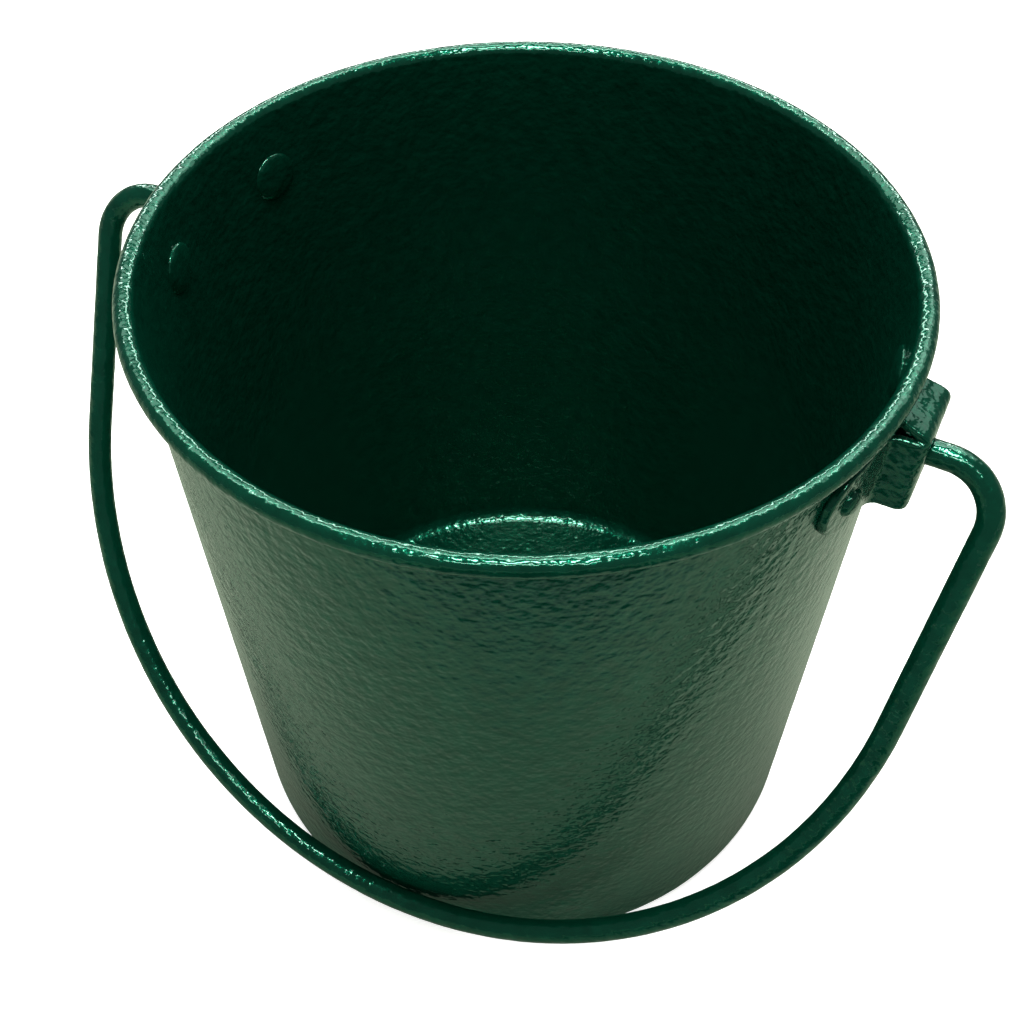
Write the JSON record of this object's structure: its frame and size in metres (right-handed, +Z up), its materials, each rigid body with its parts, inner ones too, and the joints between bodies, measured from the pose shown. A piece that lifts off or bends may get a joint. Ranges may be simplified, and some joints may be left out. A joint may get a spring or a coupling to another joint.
{
  "type": "feed bucket",
  "caption": "Round tapered steel feed bucket with a rolled rim, riveted ears and a swinging wire bail, coated dark green.",
  "frame": {"origin": "centre of the flat underside, on the bucket's axis", "axes": "+Z up along the bucket's axis, +X towards the right bail ear, -Y towards the side the bail hangs on"},
  "size_m": [0.3102, 0.2398, 0.231],
  "materials": {
    "shell_coat": "glossy orange-peel coat",
    "ear_coat": "glossy orange-peel coat",
    "rivet_coat": "glossy orange-peel coat",
    "bail_coat": "glossy orange-peel coat",
    "wire_steel": "galvanised wire"
  },
  "bodies": {
    "bucket": {"pail_shell": "shell_coat", "rim_wire": "wire_steel", "right_bail_ear": "ear_coat", "left_bail_ear": "ear_coat", "right_ear_front_rivet": "rivet_coat", "right_ear_rear_rivet": "rivet_coat", "left_ear_front_rivet": "rivet_coat", "left_ear_rear_rivet": "rivet_coat"},
    "bail": {"bail": "bail_coat"}
  },
  "joints": [
    {"name": "bail_swing", "type": "hinge", "parent": "bucket", "child": "bail", "pos_m": [0, 0, 0.206], "axis": [-1, 0, 0], "range_deg": [0, 298.8]}
  ]
}
